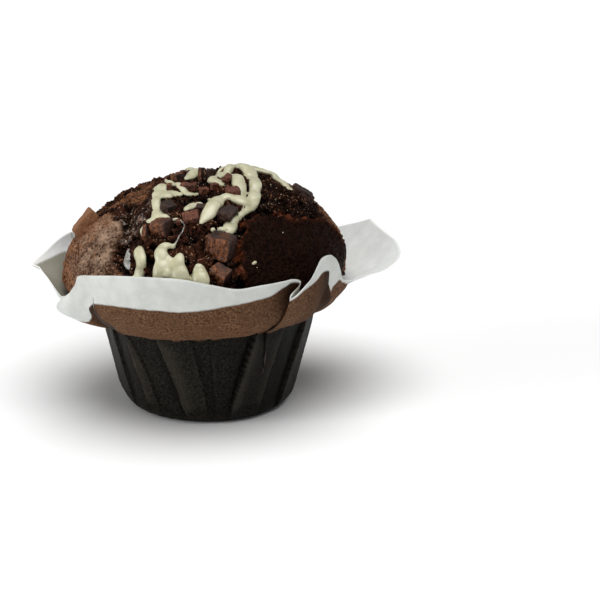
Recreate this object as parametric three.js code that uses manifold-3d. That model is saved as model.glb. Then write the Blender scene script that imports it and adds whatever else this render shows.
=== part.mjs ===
// A double chocolate muffin in its pleated paper case, topped with chocolate pieces and white icing.
// Millimetres, +Z up. The origin is the centre of the paper case's flat base, on the surface it stands on.
// Azimuths are in degrees about +Z, counter-clockwise from +X, so 270 is the front.
import * as THREE from "three";
import { ConvexGeometry } from "three/addons/geometries/ConvexGeometry.js";
import { mergeVertices } from "three/addons/utils/BufferGeometryUtils.js";
import Module from "manifold-3d";

const wasm = await Module();
wasm.setup();

// ---- Driving dimensions ----
const GAP = 0.3; // clearance between touching pieces
const PAPER = 0.6; // the pleated paper's built-up thickness

const BASE_R = 22.5; // flat of the base
const CORNER = 6; // height of the rounded corner above the base
const CORNER_R = 27.5; // outer radius where the rounded corner ends
const FOLD_R = 34.5; // outer radius where the cup wall turns out into the collar
const FOLD_Z = 31; // mean height of that fold
const FOLD_TILT = 1.7; // the fold rises this much towards FOLD_HIGH, and drops as much opposite
const FOLD_HIGH = 340;
const FLARE_R = 50; // the collar bellies out towards this radius, FLARE_RISE above the fold
const FLARE_RISE = 2.4;
const PLEATS = 14;
const PLEAT_DEPTH = 0.5;

const CROWN_R = 46; // the crown's widest radius
const CROWN_Z = 42; // the height of that widest ring
const CROWN_RISE = 32.5; // from there to the top
const CROWN_POWER = 2.25; // superellipse exponent of the domed top
const LIP_POWER = 1.5; // superellipse exponent of the underside that overhangs the cup
const SLUMP = 2.5; // how much lower the dome's left shoulder lies than its right

// Places where the crown rose more or less than its mean shape, and how far each reaches over the surface.
const SWELLS = [
  { x: -33.5, y: 3, z: 66, reach: 17, rise: -1.6 },
  { x: 16.3, y: 9.4, z: 72.5, reach: 12, rise: 1.5 },
  { x: 45, y: 4, z: 50, reach: 13, rise: 1 },
];

const PAPER_COLUMNS = 60;
const CRUMB_COLUMNS = 48;

// The collar's free edge: azimuth, radius, height. The wide leaf near 10 degrees and the pointed one near 175
// are two corners of the pressed sheet; the notches at 198 and 341 lie between corners.
const COLLAR_EDGE = [
  [3, 64.2, 48.1],
  [7, 64.2, 49.5],
  [14, 63, 50.6],
  [21, 62.7, 51.5],
  [26, 62.8, 52.8],
  [31, 62, 50.4],
  [39, 59.2, 47.6],
  [42, 57.5, 52.2],
  [47, 57, 55.3],
  [55, 54.5, 57.4],
  [65, 53, 57.6],
  [80, 51.5, 55.5],
  [92, 54, 52],
  [100, 56, 51],
  [110, 52, 53],
  [125, 51.5, 53.5],
  [138, 52, 50.3],
  [146, 52, 49.6],
  [157, 50.2, 51.2],
  [163, 50.8, 50.6],
  [170, 53.7, 47.8],
  [175, 57.1, 45],
  [178, 54.1, 45.1],
  [184, 51.5, 43.3],
  [191, 48.8, 40.9],
  [198, 48.2, 40.1],
  [203.5, 48.4, 41.6],
  [208, 48.4, 43.8],
  [214, 48.6, 48],
  [220, 50, 52],
  [230, 50.2, 53.6],
  [243, 50.4, 55.2],
  [251, 50.4, 55.6],
  [261, 50, 55.4],
  [271, 49.2, 53.5],
  [282, 48.9, 51.5],
  [293, 48.8, 52],
  [300, 49.2, 52.2],
  [309, 50.8, 51.4],
  [313, 50.2, 55.2],
  [319, 50, 57.2],
  [326, 49.2, 54.6],
  [330, 48.6, 50.7],
  [337, 48.2, 44.6],
  [343, 50, 43.6],
  [347, 54.1, 44.7],
  [351, 57.6, 45],
  [355, 60.7, 45.9],
  [359, 63.2, 47],
];

// Chocolate pieces on and in the crown. x and y place the piece over the dome, size is its length, width and
// height and lift raises its centre off the crumb. Lean turns it about its own width and spin about the line out
// of the crumb. Tip then rocks it up or down the slope it lies on.
const CHOCOLATE = [
  { name: "chunk_front_large", x: 4.8, y: -37.4, size: [8.2, 7.2, 7], lift: -0.2, spin: -26, lean: 4, tip: -36 },
  { name: "chunk_front_left", x: -13.2, y: -29.5, size: [5.5, 5.3, 4.8], lift: -0.1, spin: -30, lean: 4, tip: -26 },
  { name: "chunk_front_left_slab", x: -17.8, y: -30, size: [1.5, 5.4, 3.6], lift: 0.4, spin: -10, lean: -4 },
  { name: "chunk_front_low", x: 4.4, y: -43, size: [6, 5, 6], lift: -0.8, spin: -34, lean: 0, tip: -24 },
  { name: "chunk_left_edge", x: -38.6, y: -2, size: [9, 6.6, 3.8], lift: 1, spin: 6, lean: -6 },
  { name: "chunk_right_edge", x: 31.3, y: 1.4, size: [6.8, 6, 3.6], lift: 0.5, spin: 12, lean: 0 },
  { name: "chunk_dark_upper", x: -10.8, y: -22.6, size: [4.2, 4.6, 4.4], lift: 0.4, spin: 30, lean: 10 },
  { name: "chunk_centre", x: -4, y: -28.2, size: [5, 4.2, 3.6], lift: -0.1, spin: 8, lean: -6 },
  { name: "chunk_right_dark", x: 7.2, y: -26.4, size: [4.3, 6, 4], lift: 0, spin: -28, lean: 5 },
  { name: "chunk_top_right", x: 8.8, y: -15.4, size: [3.8, 3.2, 2.6], lift: 0.8, spin: 18, lean: 0 },
  { name: "chunk_top_left", x: -8.3, y: 0.6, size: [3.6, 3.2, 3], lift: 0.8, spin: 40, lean: 0 },
  { name: "chunk_top_back", x: 2.2, y: -1.4, size: [2.6, 2.6, 4], lift: 1, spin: 15, lean: 6 },
  { name: "chunk_back_left", x: -9, y: 37, size: [8, 7, 6], lift: 0.4, spin: 25, lean: 8 },
  { name: "chunk_back_right", x: 20, y: 32, size: [9, 8, 7], lift: 0.5, spin: -15, lean: 5 },
  { name: "chunk_back_low", x: -25, y: 33, size: [7.5, 7, 5.5], lift: 0.4, spin: 35, lean: -8 },
  { name: "shard_top_upright", x: -0.8, y: -1.8, size: [1.3, 1.8, 4.6], lift: 1.6, spin: 35, lean: 8 },
  { name: "shard_top_flat", x: -4.8, y: -10.2, size: [4.6, 2.4, 1.9], lift: 0.7, spin: -12, lean: 0 },
  { name: "shard_top_small", x: 0, y: -12.9, size: [2.6, 2.2, 1.8], lift: 0.7, spin: 24, lean: 0 },
  { name: "shard_top_curl", x: 3.2, y: -12.3, size: [2.3, 1.4, 2.2], lift: 1, spin: 38, lean: 10 },
  { name: "shard_right_curl", x: 7.2, y: -7.6, size: [1.8, 3, 3.4], lift: 1.3, spin: -16, lean: 14 },
  { name: "shard_left_chip", x: -10.8, y: -9.6, size: [1.4, 1.6, 2.4], lift: 1.1, spin: 0, lean: 8 },
  { name: "shard_left_cap", x: -8, y: -29.2, size: [1.3, 1.5, 1.5], lift: 0.6, spin: 8, lean: 0 },
  { name: "shard_centre_dark", x: -0.8, y: -24, size: [3.3, 2.2, 1.9], lift: 0.4, spin: -10, lean: 0 },
  { name: "shard_back_centre", x: 11.6, y: 32, size: [4.2, 3, 2.8], lift: 0.6, spin: 50, lean: 0 },
  { name: "shard_back_right", x: 27, y: 23, size: [4, 3.2, 2.8], lift: 0.9, spin: 10, lean: 0 },
];

// Runs of white icing. Each path is its line over the dome in x, y, and radius is half the run's width. The runs
// of one piece have flowed together.
const ICING = [
  {
    name: "icing_crown",
    runs: [
      { radius: 1.4, path: [[2.4, -5], [5.1, 0.2], [9.5, 8.7], [12.6, 11.6]] },
      { radius: 1.6, path: [[3.4, -8], [5.7, -9]] },
      { radius: 1.9, path: [[11.6, 10], [15.2, 0.8], [16.1, -10], [14.9, -19], [11.5, -24.1]] },
      { radius: 1.9, path: [[9.4, -1], [10.7, -7.8], [11.9, -17.5]] },
      { radius: 1.7, path: [[11.5, -24.1], [8.7, -28], [7.4, -32.4]] },
      { radius: 2, path: [[13.6, -19.6], [7.6, -17.8], [3.4, -22.2], [1.2, -27.4], [0, -29]] },
      { radius: 1.5, path: [[13.9, 11.4], [19.4, 9.6], [24.6, 6.6], [28, 3]] },
      { radius: 1.3, path: [[13, 10], [13, 15], [9.6, 19]] },
    ],
  },
  {
    name: "icing_left",
    runs: [
      { radius: 1.5, path: [[-14.7, -5.4], [-14.8, -16.7], [-14.6, -24.5]] },
      { radius: 1.4, path: [[-16.8, -24.7], [-13, -26]] },
    ],
  },
  { name: "icing_left_diagonal", runs: [{ radius: 1.3, path: [[-12, 1], [-8.2, -7.8], [-6.3, -12], [-3, -14.4]] }] },
  { name: "icing_top", runs: [{ radius: 1.4, path: [[-5, -1.8], [-3, 3.2], [-1.4, 13], [-4, 20], [-9, 29]] }] },
  { name: "icing_centre_thread", runs: [{ radius: 0.9, path: [[-0.6, -21], [-3.4, -22], [-5.4, -24.4]] }] },
  { name: "icing_front_left", runs: [{ radius: 1.5, path: [[-20.2, -33.8], [-19.4, -36.6], [-21.4, -38.4]] }] },
  {
    name: "icing_front",
    runs: [
      { radius: 1.3, path: [[-10, -36.2], [-12.6, -35.8]] },
      { radius: 2.3, path: [[-13.2, -36.8], [-12.8, -39.6], [-14, -40.9]] },
      { radius: 2.1, path: [[-7.7, -39.8], [-8, -41.7], [-11.6, -40.9]] },
      { radius: 2, path: [[-1.9, -42.2], [-2.8, -43], [-5.6, -43.4], [-8, -42]] },
    ],
  },
  { name: "icing_chip", runs: [{ radius: 1.4, path: [[-24.2, -31.8], [-24.8, -34.2]] }] },
  { name: "icing_back", runs: [{ radius: 1.5, path: [[28, 24], [21, 22.6], [12, 26], [4, 29.4], [-2, 36]] }] },
];

// ---- Profiles ----
const rad = THREE.MathUtils.degToRad;

function foldHeight(azimuth) {
  return FOLD_Z + FOLD_TILT * Math.cos(rad(azimuth - FOLD_HIGH));
}

// Radius and height of the collar's free edge at an azimuth, straight between the listed points.
function collarEdge(azimuth) {
  const from = COLLAR_EDGE.findLastIndex(([a]) => a <= azimuth);
  const low = COLLAR_EDGE.at(from);
  const high = COLLAR_EDGE[(from + 1) % COLLAR_EDGE.length];
  const lowAzimuth = from < 0 ? low[0] - 360 : low[0];
  const span = (high[0] - lowAzimuth + 360) % 360;
  const t = (azimuth - lowAzimuth) / span;
  return new THREE.Vector2().lerpVectors(new THREE.Vector2(low[1], low[2]), new THREE.Vector2(high[1], high[2]), t);
}

// Moves a point of the mean crown out from the crown's middle by the swells around it.
function swollen(azimuth, r, z) {
  const [x, y] = [r * Math.cos(rad(azimuth)), r * Math.sin(rad(azimuth))];
  const lift = SWELLS.reduce((sum, swell) => {
    const away = Math.hypot(x - swell.x, y - swell.y, z - swell.z);
    return sum + swell.rise * Math.exp(-((away / swell.reach) ** 2));
  }, 0);
  const out = new THREE.Vector2(r, z - CROWN_Z);
  return out.setLength(out.length() + lift).add(new THREE.Vector2(0, CROWN_Z));
}

// The crown's top surface, as radius and height, where its mean shape has the radius r.
function crownTop(azimuth, r) {
  const share = Math.min(r / CROWN_R, 1);
  const slump = SLUMP * share * (1 - Math.cos(rad(azimuth))) / 2;
  const z = CROWN_Z + (CROWN_RISE - slump) * Math.pow(1 - Math.pow(share, CROWN_POWER), 1 / CROWN_POWER);
  return swollen(azimuth, r, z);
}

// Moves each point of an open profile sideways by distance, to the left of its direction of travel.
function offsetProfile(points, distance) {
  return points.map((p, i) => {
    const before = points[Math.max(i - 1, 0)];
    const after = points[Math.min(i + 1, points.length - 1)];
    const along = after.clone().sub(before).normalize();
    return p.clone().add(new THREE.Vector2(-along.y, along.x).multiplyScalar(distance));
  });
}

// The rounded corner, as points from the edge of the flat up to the wall, for a base raised by inset.
function cornerPoints(inset) {
  return [30, 60, 90].map((angle) => {
    const r = BASE_R - inset + (CORNER_R - BASE_R) * Math.sin(rad(angle));
    const z = inset + (CORNER - inset) * (1 - Math.cos(rad(angle)));
    return new THREE.Vector2(r, z);
  });
}

// The outside of the case from the wall's foot, up the pleated wall, round the fold and out to the free edge.
function caseSide(azimuth) {
  const fold = new THREE.Vector2(FOLD_R, foldHeight(azimuth));
  const flare = new THREE.Vector2(FLARE_R, fold.y + FLARE_RISE);
  const edge = collarEdge(azimuth);
  const wall = [0.25, 0.5, 0.75, 1].map((t) => {
    const pleat = PLEAT_DEPTH * Math.cos(rad(azimuth * PLEATS)) * Math.sin(Math.PI * t);
    return new THREE.Vector2(CORNER_R, CORNER).lerp(fold, t).add(new THREE.Vector2(pleat, 0));
  });
  const collar = new THREE.QuadraticBezierCurve(fold, flare, edge).getPoints(5).slice(1);
  return [...wall, ...collar];
}

function caseProfile(azimuth) {
  const outside = [...cornerPoints(0), ...caseSide(azimuth)];
  const inside = offsetProfile(outside, PAPER).reverse();
  return [
    new THREE.Vector2(0, 0),
    new THREE.Vector2(BASE_R, 0),
    ...outside,
    ...inside,
    new THREE.Vector2(BASE_R - PAPER, PAPER),
    new THREE.Vector2(0, PAPER),
  ];
}

// The crumb from the centre of its underside, up inside the case, over the lip and the dome to the top.
function crumbProfile(azimuth, grow) {
  const inset = PAPER + GAP;
  const foldZ = foldHeight(azimuth);
  const neck = FOLD_R - inset - PLEAT_DEPTH;
  const lipZ = foldZ + inset;
  const foot = cornerPoints(inset).map((p) => p.setX(p.x - inset / 2));
  const wall = [0.5, 1].map((t) => foot.at(-1).clone().lerp(new THREE.Vector2(neck, lipZ), t));
  wall[0].x -= PLEAT_DEPTH;
  const lip = [25, 50, 75].map((angle) => {
    const out = Math.pow(Math.sin(rad(angle)), 2 / LIP_POWER);
    const up = 1 - Math.pow(Math.cos(rad(angle)), 2 / LIP_POWER);
    return swollen(azimuth, neck + (CROWN_R - neck) * out, lipZ + (CROWN_Z - lipZ) * up);
  });
  const dome = [90, 78, 66, 54, 42, 30, 20, 10].map((angle) => {
    return crownTop(azimuth, CROWN_R * Math.pow(Math.sin(rad(angle)), 2 / CROWN_POWER));
  });
  const side = offsetProfile([...foot, ...wall, ...lip, ...dome], -grow);
  return [
    new THREE.Vector2(0, inset - grow),
    ...side,
    new THREE.Vector2(0, crownTop(0, 0).y + grow),
  ];
}

// ---- Solids ----
// A body of revolution whose profile changes with azimuth. Every profile has the same number of points, and
// starts and ends on the axis.
function turned(profileAt, columns) {
  const rows = profileAt(0).length;
  const geometry = new THREE.LatheGeometry(Array.from({ length: rows }, (_, i) => new THREE.Vector2(1, i)), columns);
  const position = geometry.getAttribute("position");
  for (let column = 0; column <= columns; column++) {
    const azimuth = (360 * (column % columns)) / columns;
    profileAt(azimuth).forEach((p, row) => {
      const a = rad(azimuth);
      position.setXYZ(column * rows + row, p.x * Math.cos(a), p.x * Math.sin(a), p.y);
    });
  }
  return geometry;
}

function solid(geometry) {
  const bare = geometry.clone();
  bare.deleteAttribute("normal");
  bare.deleteAttribute("uv");
  const merged = mergeVertices(bare, 1e-4);
  const triVerts = new Uint32Array(merged.index.array);
  const made = new wasm.Manifold(
    new wasm.Mesh({ numProp: 3, vertProperties: merged.attributes.position.array, triVerts }),
  );
  if (made.volume() > 0) return made;
  for (let i = 0; i < triVerts.length; i += 3) {
    [triVerts[i + 1], triVerts[i + 2]] = [triVerts[i + 2], triVerts[i + 1]];
  }
  return new wasm.Manifold(
    new wasm.Mesh({ numProp: 3, vertProperties: merged.attributes.position.array, triVerts }),
  );
}

function geometryOf(manifold) {
  const mesh = manifold.getMesh();
  const position = [];
  for (let i = 0; i < mesh.numVert; i++) {
    position.push(...mesh.vertProperties.subarray(i * mesh.numProp, i * mesh.numProp + 3));
  }
  const geometry = new THREE.BufferGeometry();
  geometry.setAttribute("position", new THREE.Float32BufferAttribute(position, 3));
  geometry.setIndex([...mesh.triVerts]);
  geometry.computeVertexNormals();
  return geometry;
}

function largest(manifold) {
  return manifold.decompose().sort((a, b) => b.volume() - a.volume())[0];
}

// A point of the crown's top for a point x, y of its mean shape, and the direction out of the surface there.
function crownPoint(x, y) {
  const at = (px, py) => {
    const azimuth = THREE.MathUtils.radToDeg(Math.atan2(py, px));
    const top = crownTop(azimuth, Math.hypot(px, py));
    return new THREE.Vector3(top.x * Math.cos(rad(azimuth)), top.x * Math.sin(rad(azimuth)), top.y);
  };
  const step = 0.5;
  const inward = 1 - 1e-6;
  const point = at(x * inward, y * inward);
  const along = at(x * inward - step * Math.sign(x), y).sub(point).multiplyScalar(-Math.sign(x));
  const across = at(x, y * inward - step * Math.sign(y)).sub(point).multiplyScalar(-Math.sign(y));
  return { point, normal: along.cross(across).normalize() };
}

// Repeatable numbers from -1 to 1, so that each chocolate piece is broken differently.
function scatter(seed) {
  let state = seed * 7919 + 17;
  return () => {
    state = (state * 16807) % 2147483647;
    return (state / 2147483647) * 2 - 1;
  };
}

// A broken block of chocolate: a box whose corners are cut off unevenly.
function brokenBlock(size, seed, grow) {
  const next = scatter(seed);
  const cut = 0.16;
  const uneven = 0.08;
  const corners = [];
  for (const sx of [-1, 1]) {
    for (const sy of [-1, 1]) {
      for (const sz of [-1, 1]) {
        const shift = [next() * uneven, next() * uneven, next() * uneven];
        for (let face = 0; face < 3; face++) {
          const keep = [sx, sy, sz].map((s, axis) => s * (axis === face ? 1 - cut * (1.3 + next() * 0.6) : 1));
          const half = size.map((length) => length / 2 + grow);
          corners.push(new THREE.Vector3(...keep.map((s, axis) => (s + shift[axis]) * half[axis])));
        }
      }
    }
  }
  return new ConvexGeometry(corners);
}

function placeOnCrown(object, piece) {
  const { point, normal } = crownPoint(piece.x, piece.y);
  const upright = new THREE.Quaternion().setFromUnitVectors(new THREE.Vector3(0, 0, 1), normal);
  const spin = new THREE.Quaternion().setFromAxisAngle(new THREE.Vector3(0, 0, 1), rad(piece.spin));
  const lean = new THREE.Quaternion().setFromAxisAngle(new THREE.Vector3(0, 1, 0), rad(piece.lean));
  const tip = new THREE.Quaternion().setFromAxisAngle(new THREE.Vector3(1, 0, 0), rad(piece.tip ?? 0));
  object.quaternion.copy(upright.multiply(tip).multiply(spin).multiply(lean));
  object.position.copy(point.addScaledVector(normal, piece.lift));
  object.updateMatrix();
}

// A run of icing: a tube over the dome with a rounded drop at each end.
function icingRun({ radius, path }) {
  const sink = 0.35; // share of the radius by which the run's centre lies below its own radius
  const points = path.map(([x, y]) => {
    const { point, normal } = crownPoint(x, y);
    return point.addScaledVector(normal, radius * sink);
  });
  const curve = new THREE.CatmullRomCurve3(points, false, "centripetal");
  const section = new THREE.Shape();
  section.absarc(0, 0, radius, 0, 2 * Math.PI);
  const steps = Math.max(3, Math.round(curve.getLength() / 3.5));
  const tube = new THREE.ExtrudeGeometry(section, { steps, curveSegments: 4, extrudePath: curve });
  let run = solid(tube);
  for (const point of [points[0], points.at(-1)]) {
    const drop = new THREE.IcosahedronGeometry(radius * 1.15, 1).translate(...point);
    run = run.add(solid(drop));
  }
  return run;
}

// ---- Materials ----
const matte = (color, roughness) => new THREE.MeshStandardMaterial({ color, roughness, metalness: 0 });
const paperMaterial = matte(0xd8d8d0, 0.8);
const crumbMaterial = matte(0x2c1810, 0.7);
const chocolateMaterial = matte(0x4a2a18, 0.5);
const icingMaterial = matte(0xe2dfc6, 0.35);

// ---- Assembly ----
const muffin = new THREE.Group();

function addPiece(name, geometry, material) {
  const mesh = new THREE.Mesh(geometry, material);
  mesh.name = name;
  muffin.add(mesh);
  return mesh;
}

addPiece("paper_case", turned(caseProfile, PAPER_COLUMNS), paperMaterial);

const sockets = CHOCOLATE.map((piece, i) => {
  const mesh = addPiece(piece.name, brokenBlock(piece.size, i + 1, 0), chocolateMaterial);
  placeOnCrown(mesh, piece);
  const socket = brokenBlock(piece.size, i + 1, GAP).applyMatrix4(mesh.matrix);
  return solid(socket);
});

let crumb = solid(turned((azimuth) => crumbProfile(azimuth, 0), CRUMB_COLUMNS));
for (const socket of sockets) crumb = crumb.subtract(socket);
addPiece("muffin_crumb", geometryOf(largest(crumb)), crumbMaterial);

const underIcing = solid(turned((azimuth) => crumbProfile(azimuth, GAP), CRUMB_COLUMNS));
for (const { name, runs } of ICING) {
  let icing = runs.map(icingRun).reduce((joined, run) => joined.add(run));
  icing = icing.subtract(underIcing);
  for (const socket of sockets) icing = icing.subtract(socket);
  addPiece(name, geometryOf(largest(icing)), icingMaterial);
}

export default muffin;
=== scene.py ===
"""The finished look of a chocolate muffin in its paper case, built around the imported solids."""

import itertools
import math

import bmesh
import bpy
import numpy as np
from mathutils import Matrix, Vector
from mathutils.bvhtree import BVHTree
from mathutils.kdtree import KDTree


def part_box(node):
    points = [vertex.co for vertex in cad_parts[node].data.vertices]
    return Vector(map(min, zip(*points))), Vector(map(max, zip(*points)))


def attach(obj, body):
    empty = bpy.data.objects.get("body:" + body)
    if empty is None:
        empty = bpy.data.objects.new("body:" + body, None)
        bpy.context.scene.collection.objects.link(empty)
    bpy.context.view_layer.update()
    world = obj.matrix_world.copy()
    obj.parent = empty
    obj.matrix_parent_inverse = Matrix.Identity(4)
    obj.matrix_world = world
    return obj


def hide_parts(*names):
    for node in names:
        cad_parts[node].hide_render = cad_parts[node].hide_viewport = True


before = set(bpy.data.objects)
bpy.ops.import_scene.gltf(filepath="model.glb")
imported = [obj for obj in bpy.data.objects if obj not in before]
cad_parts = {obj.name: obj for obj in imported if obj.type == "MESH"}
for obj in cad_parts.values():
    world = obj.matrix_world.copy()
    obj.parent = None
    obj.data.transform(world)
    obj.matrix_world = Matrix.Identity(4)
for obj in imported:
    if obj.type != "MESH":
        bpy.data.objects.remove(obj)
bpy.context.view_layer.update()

# ---- Driving sizes ----
# The script works in millimetres and in azimuths in degrees. Meshes are made in metres.
MM = 0.001
BASE_R = 23.0  # flat of the case's base
CORNER_Z = 6.0  # where its rounded foot ends
CORNER_R = 28.1
FOLD_R = 34.0  # where the cup turns out into the collar
FOLD_Z = 31.0
FOLD_TILT = 1.7  # how far the fold rises above its mean height at its highest azimuth
FOLD_HIGH = 340.0
FLARE_R = 50.0  # where the collar bellies out to, and how far above the fold
FLARE_RISE = 2.2
PAPER = 0.22

CROWN_R = 46.0  # the crown's widest ring
CROWN_Z = 42.0
CROWN_RISE = 32.5  # from that ring to the top
CROWN_POWER = 2.25  # 2 is an ellipse, and more is boxier
LIP_POWER = 1.5  # the same below the widest ring
SLUMP = 2.5  # how far the crown has sunk on its -x side
CRUMB_INSET = 0.9  # how far inside the case the crumb lies
# Where the crown rose more or less than its mean shape: place, reach over the surface and rise.
SWELLS = [((-33.5, 3, 66), 17, -1.6), ((16.3, 9.4, 72.5), 12, 1.5), ((45, 4, 50), 13, 1.0)]

collection = bpy.context.scene.collection


# ---- Small helpers ----
def mix(low, high, share):
    return low + (high - low) * share


def smoothstep(low, high, value):
    share = np.clip((value - low) / (high - low), 0, 1)
    return share * share * (3 - 2 * share)


def polar(azimuth, radius, height):
    """Points from azimuth in degrees, radius and height, as an array of x, y, z."""
    a = np.radians(azimuth)
    return np.stack([radius * np.cos(a), radius * np.sin(a), height + 0 * a], axis=-1)


def turned_from(azimuth, start):
    """How far an azimuth lies from another, from -180 to 180."""
    return (azimuth - start + 180) % 360 - 180


def unit(vectors):
    return vectors / np.maximum(np.linalg.norm(vectors, axis=-1, keepdims=True), 1e-9)


def hashed(cell, seed):
    """A repeatable number from 0 to 1 for every whole-numbered cell."""
    n = cell.astype(np.int64)
    h = n[..., 0] * 73856093 ^ n[..., 1] * 19349663 ^ n[..., 2] * 83492791 ^ (seed * 2654435761)
    h = (h ^ (h >> 13)) * 1274126177 & 0xFFFFFFFF
    h = (h ^ (h >> 16)) * 2246822519 & 0xFFFFFFFF
    return ((h ^ (h >> 15)) & 0xFFFFFF) / 0xFFFFFF


def noise(points, size, seed=0):
    """Smooth noise from -1 to 1 with lumps about size across."""
    p = points / size
    base = np.floor(p)
    f = p - base
    f = f * f * f * (f * (f * 6 - 15) + 10)
    total = 0
    for corner in itertools.product((0, 1), repeat=3):
        weight = np.prod(np.where(corner, f, 1 - f), axis=-1)
        total = total + weight * hashed(base + np.array(corner), seed)
    return total * 2 - 1


def fractal(points, size, octaves=3, seed=0):
    """Sum of ever finer noise."""
    total, scale, weight = 0, 1.0, 0.0
    for octave in range(octaves):
        total = total + scale * noise(points, size / 2**octave, seed + octave * 31)
        weight += scale
        scale *= 0.55
    return total / weight


def cells(points, size, seed=0):
    """Distances to the nearest and second nearest of points strewn about size apart, as shares of size."""
    p = points / size
    base = np.floor(p)
    nearest = np.full(p.shape[:-1], 9.0)
    second = np.full(p.shape[:-1], 9.0)
    for step in itertools.product((-1, 0, 1), repeat=3):
        cell = base + np.array(step)
        spot = cell + np.stack([hashed(cell, seed + k) for k in (1, 2, 3)], axis=-1)
        away = np.linalg.norm(spot - p, axis=-1)
        second = np.minimum(second, np.maximum(nearest, away))
        nearest = np.minimum(nearest, away)
    return nearest, second


def make_mesh(name, points, faces):
    """A smooth-shaded mesh object from points in millimetres."""
    mesh = bpy.data.meshes.new(name)
    mesh.from_pydata([tuple(p) for p in np.asarray(points) * MM], [], [tuple(f) for f in faces])
    mesh.update()
    mesh.polygons.foreach_set("use_smooth", [True] * len(mesh.polygons))
    obj = bpy.data.objects.new(name, mesh)
    collection.objects.link(obj)
    return obj


def add_attribute(obj, name, values):
    attribute = obj.data.attributes.new(name, "FLOAT", "POINT")
    attribute.data.foreach_set("value", np.asarray(values, dtype=np.float32))


def vertex_vectors(obj, key):
    vectors = np.zeros(len(obj.data.vertices) * 3, dtype=np.float32)
    obj.data.vertices.foreach_get(key, vectors)
    return vectors.reshape(-1, 3).astype(float)


def mesh_points(obj):
    return vertex_vectors(obj, "co") / MM


def set_points(obj, points):
    obj.data.vertices.foreach_set("co", (np.asarray(points) * MM).astype(np.float32).ravel())
    obj.data.update()


def apply_modifiers(obj):
    """Bakes the modifiers into the mesh."""
    evaluated = obj.evaluated_get(bpy.context.evaluated_depsgraph_get())
    mesh = bpy.data.meshes.new_from_object(evaluated)
    old = obj.data
    obj.modifiers.clear()
    obj.data = mesh
    bpy.data.meshes.remove(old)
    mesh.polygons.foreach_set("use_smooth", [True] * len(mesh.polygons))


def voxel_remesh(obj, voxel, smoothing):
    """One closed skin round everything in the mesh, with its corners melted by smoothing."""
    remesh = obj.modifiers.new("remesh", "REMESH")
    remesh.mode = "VOXEL"
    remesh.voxel_size = voxel * MM
    soften = obj.modifiers.new("soften", "SMOOTH")
    soften.factor = 0.5
    soften.iterations = smoothing
    apply_modifiers(obj)


# ---- The crown's shape ----
def fold_height(azimuth):
    return FOLD_Z + FOLD_TILT * np.cos(np.radians(azimuth - FOLD_HIGH))


def mean_profile():
    """The crumb's section from the top of the dome to the centre of its base: radius, height and how much
    each point follows the tilt of the case's fold."""
    neck = FOLD_R - CRUMB_INSET - 0.5
    lip_z = FOLD_Z + CRUMB_INSET
    dome_angle = np.linspace(0, np.pi / 2, 160)
    dome_r = CROWN_R * np.sin(dome_angle) ** (2 / CROWN_POWER)
    dome_z = CROWN_Z + CROWN_RISE * np.cos(dome_angle) ** (2 / CROWN_POWER)
    lip_angle = np.linspace(np.pi / 2, 0, 60)[1:]
    lip_r = neck + (CROWN_R - neck) * np.sin(lip_angle) ** (2 / LIP_POWER)
    lip_z = CROWN_Z - (CROWN_Z - lip_z) * np.cos(lip_angle) ** (2 / LIP_POWER)
    wall = np.linspace(0, 1, 40)[1:]
    wall_r = mix(neck, CORNER_R - CRUMB_INSET, wall)
    wall_z = mix(lip_z[-1], CORNER_Z, wall)
    corner_angle = np.linspace(np.pi / 2, 0, 12)[1:]
    corner_r = BASE_R - CRUMB_INSET + (CORNER_R - BASE_R) * np.sin(corner_angle)
    corner_z = CRUMB_INSET + (CORNER_Z - CRUMB_INSET) * (1 - np.cos(corner_angle))
    base_r = np.linspace(corner_r[-1], 0, 20)[1:]
    radius = np.concatenate([dome_r, lip_r, wall_r, corner_r, base_r])
    height = np.concatenate([dome_z, lip_z, wall_z, corner_z, base_r * 0 + CRUMB_INSET])
    follow = np.concatenate([
        dome_r * 0,
        (CROWN_Z - lip_z) / (CROWN_Z - lip_z[-1]),
        wall_z / wall_z[0],
        corner_z * 0,
        base_r * 0,
    ])
    arc = np.concatenate([[0], np.cumsum(np.hypot(np.diff(radius), np.diff(height)))])
    return arc, radius, height, follow


ARC, PROFILE_R, PROFILE_Z, PROFILE_FOLLOW = mean_profile()
DOME_ARC = ARC[159]  # from the top of the dome to its widest ring
NECK_ARC = ARC[159 + 59]


def swollen(points):
    """Moves points of the mean crown out from its middle by the swells around them."""
    middle = np.array([0, 0, CROWN_Z])
    lift = 0
    for place, reach, rise in SWELLS:
        away = np.linalg.norm(points - np.array(place), axis=-1, keepdims=True)
        lift = lift + rise * np.exp(-((away / reach) ** 2))
    return points + unit(points - middle) * lift


def crown_surface(azimuth, arc):
    """Points of the smooth crumb at an azimuth and a distance along the section from the top."""
    radius = np.interp(arc, ARC, PROFILE_R)
    height = np.interp(arc, ARC, PROFILE_Z)
    follow = np.interp(arc, ARC, PROFILE_FOLLOW)
    slump = SLUMP * np.clip(radius / CROWN_R, 0, 1) * (1 - np.cos(np.radians(azimuth))) / 2
    slump = slump * np.where(arc <= DOME_ARC, (height - CROWN_Z) / CROWN_RISE, 0)
    return swollen(polar(azimuth, radius, height - slump + follow * (fold_height(azimuth) - FOLD_Z)))


def crown_normal(azimuth, arc):
    step = 0.2
    down = crown_surface(azimuth, arc + step) - crown_surface(azimuth, arc - step)
    around = polar(azimuth + 90, 1.0, 0.0)
    return unit(np.cross(down, around))


def arc_of_radius(radius):
    """Distance along the section from the top to where the dome has that radius."""
    dome = ARC <= DOME_ARC
    return np.interp(radius, PROFILE_R[dome], ARC[dome])


def spread(points):
    """Points over the dome in x, y, laid out flat with true distances from its top."""
    p = np.asarray(points, dtype=float)
    radius = np.maximum(np.hypot(p[..., 0], p[..., 1]), 1e-6)
    return p / radius[..., None] * arc_of_radius(radius)[..., None]


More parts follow.
